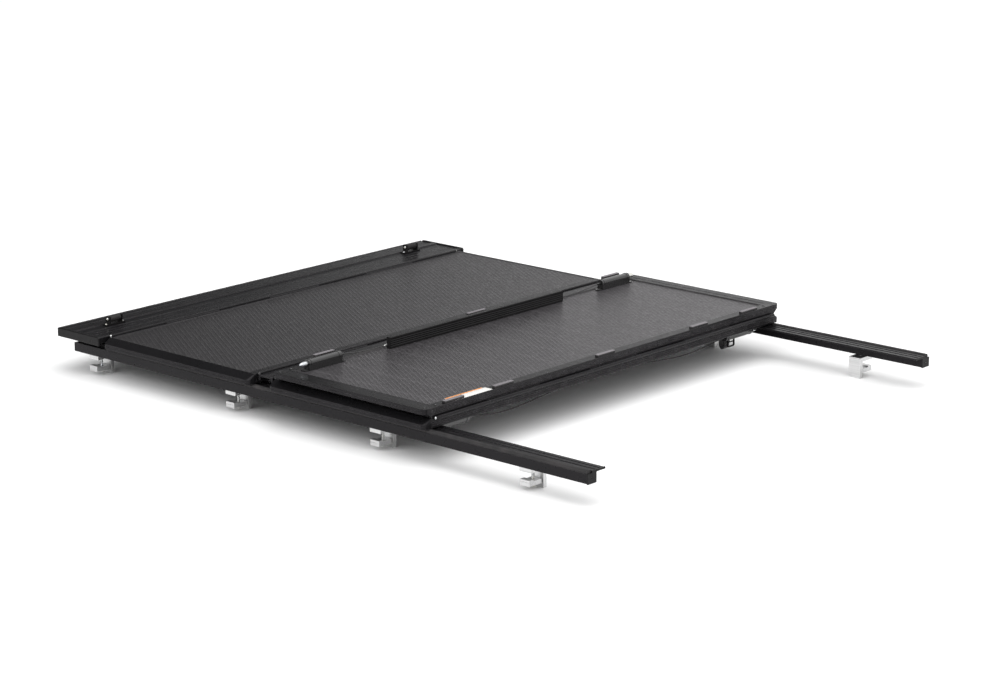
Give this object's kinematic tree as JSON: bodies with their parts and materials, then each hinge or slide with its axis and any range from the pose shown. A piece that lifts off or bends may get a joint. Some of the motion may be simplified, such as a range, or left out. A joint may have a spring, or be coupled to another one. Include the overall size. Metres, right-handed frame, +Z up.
{
  "type": "folding tonneau cover",
  "caption": "Hard folding truck bed cover with a header, side rails, three framed panels on full-width hinges and sprung latches, shown with the rear panel folded forward.",
  "frame": {"origin": "bottom centre of the assembly's box, on the plane the clamps' feet stand on", "axes": "+Y towards the cab, +X to the truck's right side, +Z up"},
  "size_m": [1.56, 2.016, 0.183],
  "materials": {
    "black_aluminium": "satin black powder coat",
    "bare_aluminium": "satin",
    "fibre_skin": "fine grained matt black",
    "black_plastic": "satin",
    "rubber": "matt",
    "zinc_steel": "zinc plated",
    "black_steel": "satin",
    "cable_sleeve": "satin",
    "webbing": "woven"
  },
  "bodies": {
    "bed_frame": {"header_plate": "black_aluminium", "header_hinge_pin": "zinc_steel", "header_seal": "rubber", "header_end_cap_left": "black_plastic", "side_rail_left": "black_aluminium", "rail_seal_left": "rubber", "rail_end_cap_left": "black_plastic", "cab_bumper_bracket_left": "black_plastic", "cab_bumper_pad_left": "rubber", "clamp_body_front_left": "bare_aluminium", "clamp_jaw_front_left": "bare_aluminium", "clamp_body_rear_left": "bare_aluminium", "clamp_jaw_rear_left": "bare_aluminium", "header_end_cap_right": "black_plastic", "side_rail_right": "black_aluminium", "rail_seal_right": "rubber", "rail_end_cap_right": "black_plastic", "cab_bumper_bracket_right": "black_plastic", "cab_bumper_pad_right": "rubber", "clamp_body_front_right": "bare_aluminium", "clamp_jaw_front_right": "bare_aluminium", "clamp_body_rear_right": "bare_aluminium", "clamp_jaw_rear_right": "bare_aluminium"},
    "front_panel": {"front_slab": "fibre_skin", "front_frame_front": "black_aluminium", "front_frame_rear": "black_aluminium", "front_frame_left": "black_aluminium", "front_frame_right": "black_aluminium"},
    "middle_panel": {"middle_slab": "fibre_skin", "middle_frame_front": "black_aluminium", "middle_frame_rear": "black_aluminium", "middle_frame_left": "black_aluminium", "middle_frame_right": "black_aluminium", "middle_latch_left": "black_steel", "middle_latch_right": "black_steel", "middle_release_cable": "cable_sleeve", "stow_strap": "webbing", "strap_buckle": "black_plastic", "rear_hinge_pin": "zinc_steel"},
    "rear_panel": {"rear_slab": "fibre_skin", "rear_frame_front": "black_aluminium", "rear_frame_rear": "black_aluminium", "rear_frame_left": "black_aluminium", "rear_frame_right": "black_aluminium", "rear_latch_left": "black_steel", "rear_latch_right": "black_steel", "rear_spring_left": "zinc_steel", "rear_spring_right": "zinc_steel", "rear_release_cable": "cable_sleeve", "tail_bar": "black_plastic"},
    "prop_rod_left": {"prop_rod_left": "black_steel"},
    "prop_rod_right": {"prop_rod_right": "black_steel"},
    "spacer_link": {"hinge_link": "black_aluminium", "link_pin_front": "zinc_steel", "link_pin_rear": "zinc_steel"},
    "middle_bolt_left": {"middle_bolt_left": "zinc_steel"},
    "middle_bolt_right": {"middle_bolt_right": "zinc_steel"},
    "rear_bolt_left": {"rear_bolt_left": "zinc_steel"},
    "rear_bolt_right": {"rear_bolt_right": "zinc_steel"}
  },
  "joints": [
    {"name": "front_panel_lift", "type": "hinge", "parent": "bed_frame", "child": "front_panel", "pos_m": [0, 0.814, 0.125], "axis": [-1, 0, 0], "range_deg": [0, 90]},
    {"name": "link_fold", "type": "hinge", "parent": "front_panel", "child": "spacer_link", "pos_m": [0, 0.194, 0.125], "axis": [-1, 0, 0], "range_deg": [0, 90]},
    {"name": "middle_panel_fold", "type": "hinge", "parent": "spacer_link", "child": "middle_panel", "pos_m": [0, 0.129, 0.125], "axis": [-1, 0, 0], "range_deg": [0, 90]},
    {"name": "rear_panel_fold", "type": "hinge", "parent": "middle_panel", "child": "rear_panel", "pos_m": [0, -0.47, 0.125], "axis": [-1, 0, 0], "range_deg": [-180, 0]},
    {"name": "middle_bolt_left_slide", "type": "slide", "parent": "middle_panel", "child": "middle_bolt_left", "axis": [1, 0, 0], "range_m": [0, 0.027], "stiffness_N_per_m": 150, "springref_m": -0.02},
    {"name": "middle_bolt_right_slide", "type": "slide", "parent": "middle_panel", "child": "middle_bolt_right", "axis": [-1, 0, 0], "range_m": [0, 0.027], "stiffness_N_per_m": 150, "springref_m": -0.02},
    {"name": "rear_bolt_left_slide", "type": "slide", "parent": "rear_panel", "child": "rear_bolt_left", "axis": [1, 0, 0], "range_m": [0, 0.027], "stiffness_N_per_m": 150, "springref_m": -0.02, "deforming": ["rear_spring_left"]},
    {"name": "rear_bolt_right_slide", "type": "slide", "parent": "rear_panel", "child": "rear_bolt_right", "axis": [-1, 0, 0], "range_m": [0, 0.027], "stiffness_N_per_m": 150, "springref_m": -0.02, "deforming": ["rear_spring_right"]},
    {"name": "prop_rod_left_swing", "type": "hinge", "parent": "front_panel", "child": "prop_rod_left", "pos_m": [-0.655, 0.314, 0.088], "axis": [-1, 0, 0], "range_deg": [0, 16]},
    {"name": "prop_rod_right_swing", "type": "hinge", "parent": "front_panel", "child": "prop_rod_right", "pos_m": [0.655, 0.314, 0.088], "axis": [-1, 0, 0], "range_deg": [0, 16]}
  ],
  "couplings": [
    {"joint": "middle_panel_fold", "follows": "link_fold", "ratio": 1},
    {"joint": "middle_bolt_right_slide", "follows": "middle_bolt_left_slide", "ratio": 1},
    {"joint": "rear_bolt_right_slide", "follows": "rear_bolt_left_slide", "ratio": 1}
  ]
}
